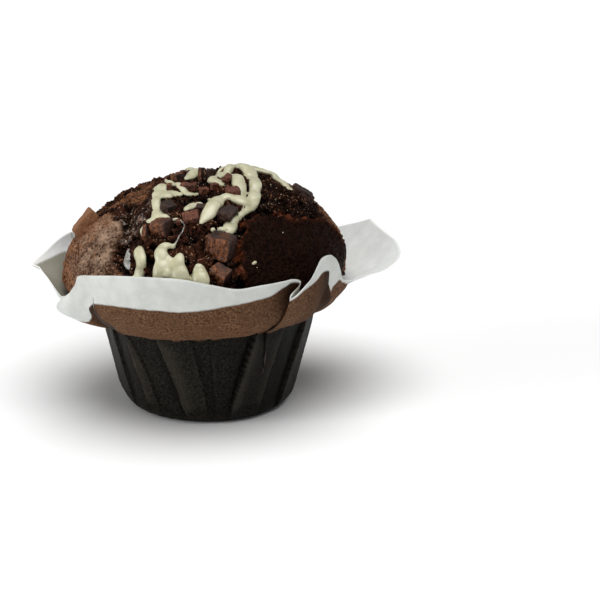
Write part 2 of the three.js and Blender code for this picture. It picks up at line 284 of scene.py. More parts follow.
# ---- Crumb ----
# Lines over the dome in x, y. On the right of each line's direction of travel lies a smooth crust plate, and
# on its left the open crumb that broke through as the muffin rose.
PLATE_EDGES = {
    "right": [
        (15, -45.5), (11, -43), (10, -38), (11, -33.5), (12.5, -28.5), (16, -24.8), (20, -22.6), (25, -21),
        (30, -18), (34, -13.5), (38, -9), (44, -6),
    ],
    "left": [
        (-44, 6), (-38, 0), (-33, -6), (-29, -12), (-26, -19), (-25.4, -25), (-27.6, -28.6), (-28.6, -31.6),
        (-26.6, -34), (-23.6, -37),
    ],
    "upper": [(-26, 24), (-20, 14), (-17, 4), (-16.8, -8), (-20, -14), (-24, -9), (-30, -3.5), (-39, 4)],
}
DRY_SHEEN_SPOT = np.array([-31, -25, 58])  # middle of the driest, palest patch of crust, pale also from painted sheen, and its reach
DRY_SHEEN_REACH = 14.5
MOIST_SPOT = np.array([-23, -20, 65])  # middle of the moist lumps beside it, and their reach
MOIST_REACH = 6.5
# Hollows in the crumb: middle, reach and depth.
HOLLOWS = [
    ((5, -39, 60), 6.5, 1.3),
    ((10.6, -37, 60), 3.2, 1.4),
    ((-19, -24, 65), 3.5, 1.2),
    ((-18, -31.5, 61), 2.6, 0.9),
    ((33, -13, 63), 2.6, 2.2),
    ((46.5, -6, 41), 7.5, 3.2),
]


def edge_distance(flat, line):
    """Signed distance to a line laid out flat: positive on the right of its direction of travel."""
    line = spread(line)
    best = np.full(len(flat), 1e9)
    signed = np.zeros(len(flat))
    for start, end in zip(line[:-1], line[1:]):
        along = end - start
        share = np.clip(((flat - start) @ along) / (along @ along), 0, 1)
        offset = flat - (start + share[:, None] * along)
        distance = np.hypot(offset[:, 0], offset[:, 1])
        side = np.sign(along[1] * (flat[:, 0] - start[0]) - along[0] * (flat[:, 1] - start[1]))
        closer = distance < best
        best = np.where(closer, distance, best)
        signed = np.where(closer, side * distance, signed)
    return signed


def cube_sphere(steps):
    """Evenly spread directions, and the four-sided faces between them."""
    line = np.tan(np.linspace(-np.pi / 4, np.pi / 4, steps + 1))
    u, v = np.meshgrid(line, line, indexing="ij")
    one = np.ones_like(u)
    sides = [(one, u, v), (-one, v, u), (v, one, u), (u, -one, v), (u, v, one), (v, u, -one)]
    points = np.concatenate([np.stack(side, axis=-1).reshape(-1, 3) for side in sides])
    index = np.arange((steps + 1) ** 2).reshape(steps + 1, steps + 1)
    corners = [index[:-1, :-1], index[1:, :-1], index[1:, 1:], index[:-1, 1:]]
    quads = np.stack(corners, axis=-1).reshape(-1, 4)
    faces = np.concatenate([quads + side * (steps + 1) ** 2 for side in range(6)])
    _, first, inverse = np.unique(np.round(points, 6), axis=0, return_index=True, return_inverse=True)
    return unit(points[first]), inverse.reshape(-1)[faces]


def crumb_relief(points, azimuth, arc):
    """How far the crumb stands out of its smooth shape, with the masks that its material needs."""
    flat = np.stack([arc * np.cos(np.radians(azimuth)), arc * np.sin(np.radians(azimuth))], axis=-1)
    wobble = np.stack([fractal(points, 4, 3, 11), fractal(points, 4, 3, 12)], axis=-1) * 2.2
    right, left, upper = (edge_distance(flat + wobble, line) for line in PLATE_EDGES.values())
    upper = np.minimum(upper, -left - 1.5)
    on_right = smoothstep(-0.3, 0.9, right)
    on_left = smoothstep(-0.6, 1.6, left)
    on_upper = smoothstep(-0.5, 1.5, upper) * (1 - smoothstep(0, 12, flat[:, 1]))
    behind = points[:, 1] + 0.3 * points[:, 0] + 6 * fractal(points, 17, 2, 5)
    back = smoothstep(6, 16, behind) * smoothstep(20, 27, arc)
    plates = np.clip(on_right + 0.9 * on_left + 0.7 * on_upper, 0, 1)
    torn = smoothstep(0.0, 0.3, fractal(points, 7, 3, 21))
    crust = np.clip(on_right + on_left + 0.85 * on_upper + back, 0, 1) * (1 - torn * (1 - plates))
    open_crumb = 1 - crust
    top = 1 - smoothstep(DOME_ARC + 3, DOME_ARC + 10, arc)

    broad = 0.8 * fractal(points, 18, 2, 3) + 0.45 * fractal(points, 6.5, 2, 4)
    ragged = 1 + 0.8 * fractal(points, 3.2, 2, 6)
    broad += 1.5 * on_right * ragged * np.exp(-np.clip(right, 0, 99) / 3.5)
    broad -= 1.3 * (1 - on_right) * np.exp(-np.clip(-right - 1, 0, 99) / 3) * smoothstep(-12, -2, right)
    fissure = smoothstep(-4, -12, points[:, 1])
    broad += 0.7 * fissure * on_left * ragged * np.exp(-np.clip(left, 0, 99) / 4)
    broad -= 1.9 * fissure * (1 - on_left) * np.exp(-((np.clip(-left, 0, 99) - 2.5) / 3.2) ** 2)

    for middle, reach, depth in HOLLOWS:
        away = np.linalg.norm(points - np.array(middle), axis=1) / reach
        broad -= depth * np.exp(-away**3)

    near, _ = cells(points, 1.25, 41)
    pebble = 0.55 - near
    rough = fractal(points, 2.4, 3, 44)
    lump = fractal(points, 5, 3, 43)
    crevice = smoothstep(0.09, 0.0, np.abs(fractal(points, 4.6, 3, 46)))
    hole = smoothstep(0.2, 0.5, fractal(points, 3.6, 3, 47))
    torn_relief = 0.8 * pebble + 1.1 * lump + 1.3 * rough - 0.9 * crevice - 1.7 * hole

    pore_near, _ = cells(points, 1.9, 51)
    pore = smoothstep(0.34, 0.12, pore_near) * smoothstep(-0.1, 0.3, noise(points, 3, 52))
    crack = smoothstep(0.06, 0.0, np.abs(fractal(points, 6, 3, 57)))
    crack = crack * smoothstep(0.0, 0.4, noise(points, 12, 58))
    crust_relief = 0.36 * pebble + 0.25 * lump + 0.5 * rough - 0.5 * pore - 0.45 * crack
    strength = mix(1.0, 0.55, on_right)
    small = open_crumb * torn_relief + crust * strength * crust_relief
    # painted shade: darkening in the crumb's holes, crevices and cracks, and round each pore
    pit_shading = open_crumb * (hole + 0.6 * crevice) + crust * strength * (0.6 * pore + 0.35 * crack)
    from_dry_sheen = np.linalg.norm(points - DRY_SHEEN_SPOT, axis=1) / DRY_SHEEN_REACH
    dusty = np.clip(on_left + on_upper, 0, 1) * smoothstep(-0.9, 0.0, fractal(points, 5, 3, 59))
    from_moist = np.linalg.norm(points - MOIST_SPOT, axis=1) / MOIST_REACH
    beside_right = np.exp(-(((right + 0.1) / 1.3) ** 2))
    masks = {
        "open": open_crumb,
        "relief": small,
        "pit_shade": np.clip(pit_shading, 0, 1),
        # the pale, floury left plate, brightest round one spot as painted sheen of the window light
        "dry_and_sheen": dusty * np.exp(-(from_dry_sheen**3)),
        "baked": on_right,
        # painted shade: the open crumb darker towards +x, the side away from the window light
        "open_crumb_right_shade": open_crumb * smoothstep(6, 20, points[:, 0]),
        "moist": open_crumb * np.exp(-(from_moist**2)),
        "torn_edge": beside_right * smoothstep(60, 45, arc) * smoothstep(-0.35, 0.15, rough),
    }
    return (broad + small) * top, masks


def build_crumb():
    directions, faces = cube_sphere(200)
    azimuth = np.degrees(np.arctan2(directions[:, 1], directions[:, 0]))
    fall = np.arccos(np.clip(directions[:, 2], -1, 1))
    arc = np.interp(fall, [0, 0.76 * np.pi, np.pi], [0, NECK_ARC, ARC[-1]])
    points = crown_surface(azimuth, arc)
    normals = crown_normal(azimuth, np.maximum(arc, 0.3))
    relief, masks = crumb_relief(points, azimuth, arc)
    obj = make_mesh("crumb", points + normals * relief[:, None], faces)
    for name, values in masks.items():
        add_attribute(obj, name, values)
    return obj


crumb = build_crumb()
crumb_tree = BVHTree.FromPolygons(
    [v.co / MM for v in crumb.data.vertices], [p.vertices[:] for p in crumb.data.polygons]
)


def on_crumb(x, y):
    """The point and normal of the finished crumb under a point of the dome given in x, y."""
    azimuth = np.degrees(np.arctan2(y, x))
    arc = arc_of_radius(math.hypot(x, y))
    smooth = crown_surface(azimuth, arc)
    normal = crown_normal(azimuth, max(arc, 0.3))
    hit = crumb_tree.ray_cast(Vector(smooth + normal * 8), Vector(-normal), 16)
    point = np.array(hit[0]) if hit[0] else smooth
    return point, normal


# ---- Icing ----
# Runs of icing over the dome. Each point is x, y and half the run's width there.
ICING = {
    "icing_crown": [
        [(1.6, -6.3, 0.6), (3.2, -2.9, 1.2), (5.1, 0.2, 1.5), (7.3, 3.8, 1.6), (9.5, 8.7, 1.6),
         (11.6, 11.6, 1.6)],
        [(2.2, -6.8, 1.1), (3.8, -8.2, 1.8), (5.7, -9, 1.6)],
        [(4.4, 7.5, 0.5), (6.4, 10, 0.8), (9.2, 12.4, 1.0), (12.6, 13, 1.2)],
        [(11.6, 12.4, 1.8), (13.9, 11.6, 2.1), (16.4, 10.6, 2.1), (18.8, 9.6, 1.7), (20.6, 9.2, 1.3)],
        [(11.6, 10, 2.1), (13.8, 6, 2.3), (15.2, 0.8, 2.1), (16, -4.3, 2.0), (16.1, -10, 1.9),
         (15.7, -15.1, 1.9), (14.9, -19, 1.8), (13.4, -21.6, 1.6), (11.5, -24.1, 1.3), (9.6, -26.3, 1.6),
         (8.7, -28, 1.8), (8, -30.2, 2.0), (7.4, -32.4, 1.7), (7.1, -33.4, 1.2)],
        [(8.7, 1.3, 0.9), (9.8, -2.6, 1.8), (10.7, -7.8, 2.2), (11.4, -13, 2.0), (11.9, -17.5, 1.9)],
        [(14.1, -19.8, 1.8), (11.7, -19.1, 2.2), (8.9, -17.9, 1.8), (6.4, -17.9, 1.5), (4.6, -19.3, 1.8),
         (3.4, -22.2, 2.2), (2.5, -24.9, 2.2), (1.2, -27.4, 2.1), (0.1, -29, 1.4), (-1.1, -30.5, 0.6)],
        [(1.5, -16.2, 0.5), (2.3, -18.2, 0.8), (3.2, -20.5, 1.1)],
        [(19.6, 9.5, 1.2), (22.1, 9.4, 1.5), (24.6, 6.6, 1.6), (26.8, 4, 1.5), (28.6, 2.4, 1.3)],
        [(13, 10, 1.2), (13, 15, 1.2), (9.6, 19, 1.3)],
    ],
    "icing_left": [
        [(-14.7, -4.9, 1.4), (-14.8, -11.8, 1.3), (-14.8, -16.7, 1.3), (-14.8, -19.8, 1.3),
         (-14.6, -22, 1.7), (-14.4, -23.8, 2.2)],
        [(-17.6, -24.2, 0.8), (-16.1, -25.2, 1.3), (-14.2, -25.3, 1.4), (-12.4, -25.9, 1.1),
         (-10.8, -26.9, 0.5)],
        [(-18.7, -25.5, 0.35), (-19.1, -26.8, 0.45), (-19.3, -28.3, 0.45), (-19.2, -30, 0.2)],
    ],
    "icing_left_diagonal": [
        [(-12.4, 1.6, 0.6), (-11, -1.4, 0.9), (-8.7, -6.4, 1.1), (-6.6, -11.4, 1.0), (-4.6, -14.4, 1.0),
         (-3.1, -13.9, 0.8), (-1.9, -12.7, 0.5)],
    ],
    "icing_top": [
        [(-5.5, -2.8, 0.8), (-4.4, -0.3, 1.6), (-3, 3.2, 1.9), (-1.4, 7.9, 1.5), (-1.4, 13, 1.3),
         (-4, 20, 1.3), (-9, 29, 1.6)],
    ],
    "icing_centre_thread": [
        [(2.4, -19.2, 0.8), (-0.1, -19.4, 0.8), (-2, -20.6, 1.0), (-4.1, -22.8, 1.3), (-5.7, -24.7, 0.8)],
    ],
    "icing_front_left": [
        [(-19.9, -33, 0.8), (-20.3, -34, 1.6), (-19.8, -35.4, 1.7), (-19.4, -36.6, 1.5),
         (-19.9, -37.4, 1.5), (-20.8, -38, 1.6), (-21.6, -38.8, 1.6)],
    ],
    "icing_front": [
        [(-9.6, -36.3, 0.6), (-11.3, -35.6, 1.0), (-12.9, -35.8, 1.6), (-13.4, -36.9, 2.0),
         (-12.9, -38.4, 2.2), (-12.9, -39.5, 2.4), (-13.5, -40.5, 2.1), (-14.5, -41.4, 1.3)],
        [(-11.2, -40.7, 1.2), (-9.7, -41.7, 1.5), (-8.5, -42.5, 1.6)],
        [(-7.4, -39, 0.9), (-7.8, -40, 1.6), (-8.2, -40.9, 2.1), (-8, -41.7, 2.4), (-7.4, -42.7, 2.4),
         (-6.7, -43.5, 2.0)],
        [(-1.9, -41.9, 1.2), (-1.8, -42.6, 2.0), (-1.5, -43.3, 2.3), (-1.1, -44.2, 2.2)],
        [(-3.1, -42.7, 1.0), (-4.3, -43.2, 0.9), (-5.6, -43.5, 0.7)],
        [(-9.6, -27.5, 0.5), (-8.1, -27.7, 0.5), (-6.9, -28.7, 0.2), (-6.1, -30, 0.1), (-6.6, -32, 0.1),
         (-7.6, -33.9, 0.1), (-8.6, -35.3, 0.15), (-9.6, -35.9, 0.4)],
    ],
    "icing_chip": [
        [(-23.3, -31.5, 0.2), (-24.5, -31.7, 0.7), (-25.2, -32.4, 1.1), (-25, -33.4, 1.2),
         (-24.5, -34.6, 0.8), (-24, -35.5, 0.2)],
        [(-23.5, -32.3, 0.3), (-23.7, -33.8, 0.4)],
    ],
    "icing_back": [
        [(28, 24, 1.2), (21, 22.6, 1.5), (12, 26, 1.4), (4, 29.4, 1.7), (-2, 36, 1.9)],
    ],
}
# Thin films between the runs, given the same way.
ICING_FILMS = {
    "icing_front": [
        [(-12, -38.4, 1.5), (-10.4, -40.2, 1.7), (-8.8, -41.4, 1.6)],
        [(-11.6, -41.4, 1.3), (-10, -42.2, 1.2)],
        [(-6.4, -43.3, 1.2), (-4.2, -43.8, 0.9), (-2.2, -43.8, 1.2)],
    ],
    "icing_left": [
        [(-13.6, -6.5, 1.5), (-11.6, -9.5, 2.0), (-9.4, -12.6, 1.8), (-7.6, -13.6, 1.2)],
        [(-14, -12, 1.5), (-12.4, -14.2, 1.8), (-10.6, -15.2, 1.3)],
    ],
}
# Single drops: x, y, half width and how far the drop's foot stands above the crumb.
ICING_DROPS = {
    "icing_crown": [
        (2.5, -33.3, 0.6, 0.6), (3.8, -32.8, 0.1, 0.8), (4.9, -32.4, 0.85, 0.8), (5.9, -33.4, 0.4, 0.9),
        (6.8, -34.2, 0.3, 1.1), (14.3, -39.6, 0.3, 0.2), (14.9, -39.2, 0.4, 0.2), (15.5, -39.8, 0.1, 0.1),
        (24.1, -27.6, 0.12, 0.1),
    ],
}
THIN_ICING = ("icing_chip",)  # a flake so thin that it looks grey all over
THREADED_ICING = ("icing_front",)  # grey only where it is drawn out into a thread
ICING_HEIGHT = 0.5  # a run's thickness above the crumb, as a share of its half width
FILM_HEIGHT = 0.42  # the same for a film
DROP_HEIGHT = 0.9  # and for a drop
MELT_LOSS = 0.25  # the beads shrink by this much as they melt together
BEAD_STEP = 0.45  # distance between the beads of a run


def icosphere(subdivisions):
    mesh = bpy.data.meshes.new("ball")
    ball = bmesh.new()
    bmesh.ops.create_icosphere(ball, subdivisions=subdivisions, radius=1)
    ball.to_mesh(mesh)
    ball.free()
    points = np.array([v.co for v in mesh.vertices])
    faces = np.array([p.vertices[:] for p in mesh.polygons])
    bpy.data.meshes.remove(mesh)
    return points, faces


BALL_POINTS, BALL_FACES = icosphere(2)


class Beads:
    """The beads that an icing piece is melted from."""

    def __init__(self):
        self.balls, self.middles, self.widths = [], [], []

    def add(self, centre, normal, half_width, thickness):
        """Adds a flattened ball that rests on the crumb."""
        side = unit(np.cross(normal, [0.3, 0.5, 0.8]))
        melting = half_width + MELT_LOSS
        height = melting * thickness
        axes = np.stack([side * melting, np.cross(normal, side) * melting, normal * max(height, 0.4)])
        self.balls.append(BALL_POINTS @ axes + centre + normal * height * 0.4)
        self.middles.append(centre)
        self.widths.append(half_width)

    def width_at(self, points):
        """Half the width of the run that each point belongs to."""
        tree = KDTree(len(self.middles))
        for i, middle in enumerate(self.middles):
            tree.insert(Vector(middle), i)
        tree.balance()
        return np.array([max(self.widths[i] for _, i, _ in tree.find_n(Vector(p), 3)) for p in points])


def curve(t, start, leaving, end, arriving):
    """Points of a smooth curve a share t of the way between two knots with these places and directions."""
    return (
        (2 * t**3 - 3 * t**2 + 1) * start
        + (t**3 - 2 * t**2 + t) * leaving
        + (3 * t**2 - 2 * t**3) * end
        + (t**3 - t**2) * arriving
    )


def add_run(beads, run, thickness):
    """Adds beads along a smooth line through the run's points, close enough to melt together."""
    knots = np.array(run, dtype=float)
    lengths = np.linalg.norm(np.diff(spread(knots[:, :2]), axis=0), axis=1)
    at = np.concatenate([[0], np.cumsum(lengths)])
    where = np.linspace(0, at[-1], max(2, int(at[-1] / BEAD_STEP)))
    tangent = np.gradient(knots, at, axis=0)
    i = np.clip(np.searchsorted(at, where, side="right") - 1, 0, len(knots) - 2)
    span = (at[i + 1] - at[i])[:, None]
    t = (where[:, None] - at[i][:, None]) / span
    line = curve(t, knots[i], span * tangent[i], knots[i + 1], span * tangent[i + 1])
    found = [on_crumb(x, y) for x, y, _ in line]
    centres = np.array([point for point, _ in found])
    normals = np.array([normal for _, normal in found])
    kernel = np.exp(-np.linspace(-2, 2, 9) ** 2)
    padded = np.pad(centres, ((4, 4), (0, 0)), mode="edge")
    smoothed = [np.convolve(axis, kernel / kernel.sum(), "valid") for axis in padded.T]
    centres = np.stack(smoothed, axis=-1)
    widths = line[:, 2] * (1 + 0.1 * noise(centres, 3.0, 61))
    for centre, normal, width in zip(centres, normals, widths):
        beads.add(centre, normal, width, thickness)


def build_icing(name, runs):
    beads = Beads()
    for run in runs:
        add_run(beads, run, ICING_HEIGHT)
    for film in ICING_FILMS.get(name, []):
        add_run(beads, film, FILM_HEIGHT)
    for x, y, half_width, lift in ICING_DROPS.get(name, []):
        point, normal = on_crumb(x, y)
        beads.add(point + normal * lift, normal, half_width, DROP_HEIGHT)
    count = len(BALL_POINTS)
    faces = np.concatenate([BALL_FACES + i * count for i in range(len(beads.balls))])
    obj = make_mesh(name.replace("icing", "white_icing"), np.concatenate(beads.balls), faces)
    voxel_remesh(obj, 0.3, 6)
    slight = smoothstep(0.5, 0.15, beads.width_at(mesh_points(obj)))
    add_attribute(obj, "thin", np.maximum(slight * (name in THREADED_ICING), float(name in THIN_ICING)))
    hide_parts(name)
    return obj


icing = [build_icing(name, runs) for name, runs in ICING.items()]


# ---- Chocolate pieces ----
# a piece on the crown's left edge, paler partly in its own colour and partly as painted rim light
RIM_LIT_PALE_PIECES = ("chunk_left_edge",)
DARK_PIECES = (
    "chunk_dark_upper", "chunk_right_dark", "chunk_right_edge", "chunk_top_back", "shard_centre_dark",
)
RED_PIECES = (
    "chunk_centre", "chunk_top_right", "shard_top_flat", "shard_top_small", "shard_top_curl",
    "shard_right_curl", "shard_left_chip", "shard_left_cap",
)


def build_chocolate(name):
    """The solid's own block, with its arrises melted and its faces broken."""
    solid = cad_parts[name]
    look_name = name.replace("chunk", "chocolate").replace("shard", "chocolate_shard")
    obj = bpy.data.objects.new(look_name, solid.data.copy())
    collection.objects.link(obj)
    obj.data.materials.clear()
    low, high = (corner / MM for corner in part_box(name))
    size = min(high - low)
    pale, dark, ruddy = (name in names for names in (RIM_LIT_PALE_PIECES, DARK_PIECES, RED_PIECES))
    voxel_remesh(obj, np.clip(size / 26, 0.12, 0.26), 6 if ruddy else 3)
    points, normals = mesh_points(obj), vertex_vectors(obj, "normal")
    seed = sum(map(ord, name))
    # Faces turned towards the front left count as broken, towards the back right for pieces behind: rougher,
    # and in the material lighter, partly dusty broken chocolate and partly painted light from the lamps.
    turn = 215 + 25 * math.sin(seed)
    if high.y > 10:
        turn += 180
    towards = polar(turn, 0.95, 0.3)
    broken = smoothstep(0.15, 0.6, normals @ towards + 0.25 * noise(points, 3, seed))
    bulk = fractal(points, size * 0.75, 2, seed + 3)
    grain = fractal(points * np.array([1.5, 1.5, 0.7]), 1.3, 3, seed)
    near, second = cells(points, size * 0.42, seed + 7)
    facets = smoothstep(0.22, 0.0, second - near)
    roughness = (0.35 if pale else 1) * (0.35 + 0.65 * broken)
    swelling = 0.06 * ruddy + (0.17 if ruddy else 0.08) * bulk
    relief = size * (swelling + roughness * (0.035 * grain - 0.06 * facets))
    set_points(obj, points + normals * relief[:, None])
    add_attribute(obj, "broken", broken)
    for key, value in (("dark", dark), ("red", ruddy), ("pale", pale)):
        add_attribute(obj, key, np.full(len(points), float(value)))
    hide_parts(name)
    return obj


chocolate_names = [name for name in sorted(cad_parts) if name.startswith(("chunk", "shard"))]
chocolate = [build_chocolate(name) for name in chocolate_names]


# ---- Paper case ----
def station(azimuth, radius, height, white, belly=FLARE_R, rise=FLARE_RISE, fold=None, **others):
    """One point of the collar's free edge, and the line from it down to the fold.

    white is the width of the unprinted border, belly and rise are where the collar bellies out to, and fold
    is the azimuth where the line meets the fold. The others are layer, how far the paper lies outside the
    rest at the fold, soak, how much the paper is darkened, from 0 to 1, partly by soaked-in fat
    and partly as painted shade in the folds and on the left leaf's flap, and sharp, for a corner in the
    edge."""
    at_fold = azimuth if fold is None else fold
    edge = polar(azimuth, radius, height)
    middle = polar((azimuth + at_fold) / 2, belly, fold_height(at_fold) + rise)
    plain = {"layer": 0.0, "soak": 0.0, "sharp": False}
    return plain | {"edge": edge, "middle": middle, "fold": at_fold, "white": white} | others


def stretch(*points, **shared):
    """Stations one after another that share some of their values."""
    return [station(*point, **shared) for point in points]


COLLAR = [
    *stretch((3, 64.2, 48.1, 12), (7, 64.2, 49.5, 12.5), belly=51, rise=7),
    *stretch((14, 63, 50.6, 13), (21, 62.7, 51.5, 13), belly=51, rise=7),
    station(26, 62.8, 52.8, 13, 51, 7, sharp=True),
    station(31, 62, 50.4, 12, 51, 6),
    station(36.5, 60, 48.3, 11, 51, 5),
    station(39, 59.2, 47.5, 11, sharp=True),
    *stretch(
        (42, 57.6, 51.6, 10), (46.5, 57, 55, 9.5), (55, 54.5, 57.4, 9), (65, 53, 57.6, 9),
        (80, 51.5, 55.5, 9), (92, 54, 52, 11),
    ),
    station(100, 56, 51, 11.5, sharp=True),
    *stretch((110, 52, 53, 9), (125, 51.5, 53.5, 8), (138, 52, 50.3, 9)),
    station(146, 52, 49.6, 10, 48, 7),
    station(157, 50.2, 51.2, 10, 47.5, 9, soak=1),
    *stretch((163, 50.8, 50.6, 11), (170, 53.7, 47.8, 11.5), belly=47.5, rise=10, soak=1),
    station(175, 57.6, 45, 12, 47.5, 10, soak=1, sharp=True),
    station(178, 54.3, 45.1, 12, 47.5, 9, soak=1, sharp=True),
    station(184, 51.6, 43.3, 10, 47.5, 7, soak=1),
    station(191, 49.2, 40.9, 9, 48, 5, soak=0.8),
    station(198, 48.2, 40.1, 10, 49.5, 4, soak=0.3),
    station(203.5, 48.2, 41.6, 12, 59, 6.5, sharp=True),
    station(208, 48.2, 43.8, 12, 55, 4, sharp=True),
    station(214, 48.6, 48, 14.5, 49.5, 2.5),
    station(215.8, 49.1, 49.7, 14.8, 48.2, 3, fold=216.3, soak=0.6, sharp=True),
    station(218, 49.7, 51.2, 11.6, 46, 4.6, fold=220.5, soak=1),
    station(221.4, 50.1, 52.2, 9.8, 44, 6, fold=229.5, soak=1),
    station(222.5, 50.1, 52.4, 9.8, 44.7, 6, fold=226, layer=1.2, soak=1),
    station(223.4, 50.2, 52.5, 10, 45.6, 6.2, fold=223.2, layer=2.4, soak=1, sharp=True),
    station(225.5, 50.2, 52.8, 10, 46.3, 5.6, fold=225.4, layer=2.3),
    station(230, 50.3, 53.6, 10, 48, 4, fold=230, layer=2.2),
    station(236, 50.3, 54.5, 10.3, 49, 3, layer=1.1),
    station(243, 50.4, 55.2, 10.6, layer=0.3),
    *stretch(
        (251, 50.4, 55.6, 11), (261, 50, 55.4, 11), (271.5, 49, 53.4, 8), (282, 48.7, 51.5, 4.8),
        (288, 48.6, 51.8, 4.5),
    ),
    station(293.6, 48.6, 52, 4.0, 48.5, 3, fold=296, soak=0.2),
    station(299.6, 48.7, 52.2, 2.0, 46.8, 4.5, fold=301, soak=0.65),
    station(303, 48.9, 52.3, 1.2, 45.8, 5.5, fold=303.5, soak=1),
    station(305.6, 49.4, 51.4, 0.9, 45.8, 6, fold=306, soak=1),
    station(304.4, 50, 50.3, 0.8, 46.4, 6, fold=304.5, layer=0.15, soak=1),
    station(301.8, 50.8, 49.3, 0.8, 47.2, 6, fold=303, layer=0.45, soak=0.8),
    station(299.7, 51.6, 48.2, 0.8, 48.2, 6, fold=301.5, layer=0.75),
    station(299.1, 52.2, 47.4, 0.8, 48.8, 6, fold=300.8, layer=0.95),
    station(300.9, 52, 47.7, 0.8, 49, 6, fold=301.6, layer=1.1),
    station(302.9, 51.6, 48.3, 0.9, 49, 5.5, fold=303.5, layer=1.15),
    station(306.3, 51, 49.8, 1.2, 49.2, 4.5, fold=307.5, layer=1),
    station(309.4, 50.6, 51.4, 2.0, 49.5, 3.5, fold=312, soak=0.3, layer=0.7),
    station(313.5, 50.2, 55.2, 4.2, 50.2, 2.2, fold=318.5, layer=0.4, soak=0.4),
    station(315.7, 50, 56.9, 4.8, 49.5, fold=323, soak=0.7),
    station(318, 50, 57.4, 5.4, 48, 3, fold=328.5, soak=1),
    station(320.4, 50, 57.2, 6, 46.5, 4, fold=333, soak=1, sharp=True),
    station(321.4, 49.9, 57, 14.5, 46.5, 4, fold=334, sharp=True),
    station(325.9, 49.2, 54.6, 9.5, 48, 3, fold=336.5),
    station(330.4, 48.5, 50.7, 4.6, 48, 3, fold=339),
    station(335, 47.9, 46.2, 1.7, 47, 4, fold=341.5),
    station(339, 47.8, 44.2, 1, 45, 5, fold=344),
    station(343, 50, 43.6, 3, 44.5, 7.5, fold=347),
    station(347, 54.1, 44.7, 8, 46, 10, fold=350),
    station(351, 57.6, 45, 10, 47.5, 10, fold=353),
    station(355, 60.7, 45.9, 11, 49.3, 9.5, fold=356),
    station(359, 63.2, 47, 12, 51, 9, fold=359.5),
]


def through_stations(key, at, where):
    """A closed smooth curve through one property of the stations, broken at the sharp ones."""
    values = np.array([np.atleast_1d(s[key]) for s in COLLAR], dtype=float)
    following = np.roll(values, -1, axis=0)
    if key == "fold":
        following = following + np.where(following - values < -180, 360.0, 0.0)
    span = np.diff(at)[:, None]
    slope = (following - values) / span
    before = np.roll(slope, 1, axis=0)
    before_span = np.roll(span, 1, axis=0)
    mean = (slope * before_span + before * span) / (span + before_span)
    sharp = np.array([s["sharp"] for s in COLLAR])[:, None]
    leaving = np.where(sharp, slope, mean)
    arriving = np.roll(np.where(sharp, before, mean), -1, axis=0)
    i = np.clip(np.searchsorted(at, where, side="right") - 1, 0, len(values) - 1)
    t = ((where - at[i]) / np.diff(at)[i])[:, None]
    return curve(t, values[i], span[i] * leaving[i], following[i], span[i] * arriving[i])


def columns_of_case():
    """The stations' properties at every column of the sheet, evenly spaced along the free edge."""
    edges = np.array([s["edge"] for s in COLLAR])
    lengths = np.linalg.norm(np.diff(edges, axis=0, append=edges[:1]), axis=1)
    at = np.concatenate([[0], np.cumsum(lengths)])
    where = np.arange(CASE_COLUMNS) / CASE_COLUMNS * at[-1]
    keys = ("edge", "middle", "fold", "layer", "white", "soak")
    return (through_stations(key, at, where).squeeze() for key in keys)


# Pressed pleats down the cup: azimuth at the fold, azimuth at the base, height of the step and its width in
# degrees. A positive step faces the lower azimuth, and a negative one the higher.
CUP_PLEATS = [
    (221, 231, 1.4, 6), (226, 240, -0.5, 5), (243, 258, 2.0, 9), (262, 272, -0.7, 6), (272, 276, 0.8, 6),
    (296, 283, 1.7, 7), (313, 303, -1.3, 7), (333, 322, 1.4, 8), (350, 344, -0.9, 8), (8, 5, 1.2, 9),
    (29, 33, -0.9, 8), (52, 47, 1.3, 9), (76, 80, -1.1, 8), (97, 93, 1.2, 9), (121, 126, 1.3, 9),
    (143, 139, -1.1, 8), (164, 168, 1.2, 9), (187, 184, 1.1, 8), (206, 212, -0.8, 6),
]
PLEAT_BIAS = 0.1  # added all round, to make up for the grooves
CUP_SHIFT = (0.6, 1.25)  # how far the pressed cup has slipped towards +x, at the base and at the fold
CRUMPLE_SPOT = np.array([9, -32, 21])  # where the cup is crumpled most, and how far that reaches
CRUMPLE_REACH = 9


def cup_relief(azimuth, share):
    """Radial offset of the cup's wall, where share runs from 0 at the base to 1 at the fold."""
    total = 0
    for top, bottom, step, width in CUP_PLEATS:
        away = turned_from(azimuth, mix(bottom, top, share)) * np.sign(step)
        raised = np.exp(-np.clip(away, 0, 999) / width) * (away >= 0)
        groove = 0.5 * np.exp(np.clip(away, -999, 0) / (0.45 * width)) * (away < 0)
        total = total + abs(step) * (raised - groove)
    fade = smoothstep(0.0, 0.25, share) * (1 - 0.35 * smoothstep(0.85, 1, share))
    return (total + PLEAT_BIAS) * fade


def cup_shift(azimuth, share):
    return mix(*CUP_SHIFT, share) * np.cos(np.radians(azimuth))


LEFT_CREASE = 178  # azimuth of the crease in the left leaf, with a wedge of stain and painted shade that opens inwards
LEFT_LEAF = 160  # azimuth of the middle of the leaf's pale part, and half its width
LEFT_LEAF_REACH = 26
CASE_COLUMNS = 720
BASE_ROWS = 8
CORNER_ROWS = 7
WALL_ROWS = 44
COLLAR_ROWS = 44


def untangled(azimuth):
    """Azimuths round the whole case, averaged over so wide a stretch that they only ever increase."""
    width = 40
    kernel = np.exp(-np.linspace(-2, 2, 2 * width + 1) ** 2)
    padded = np.concatenate([azimuth[-width:] - 360, azimuth, azimuth[:width] + 360])
    return np.convolve(padded, kernel / kernel.sum(), "valid")


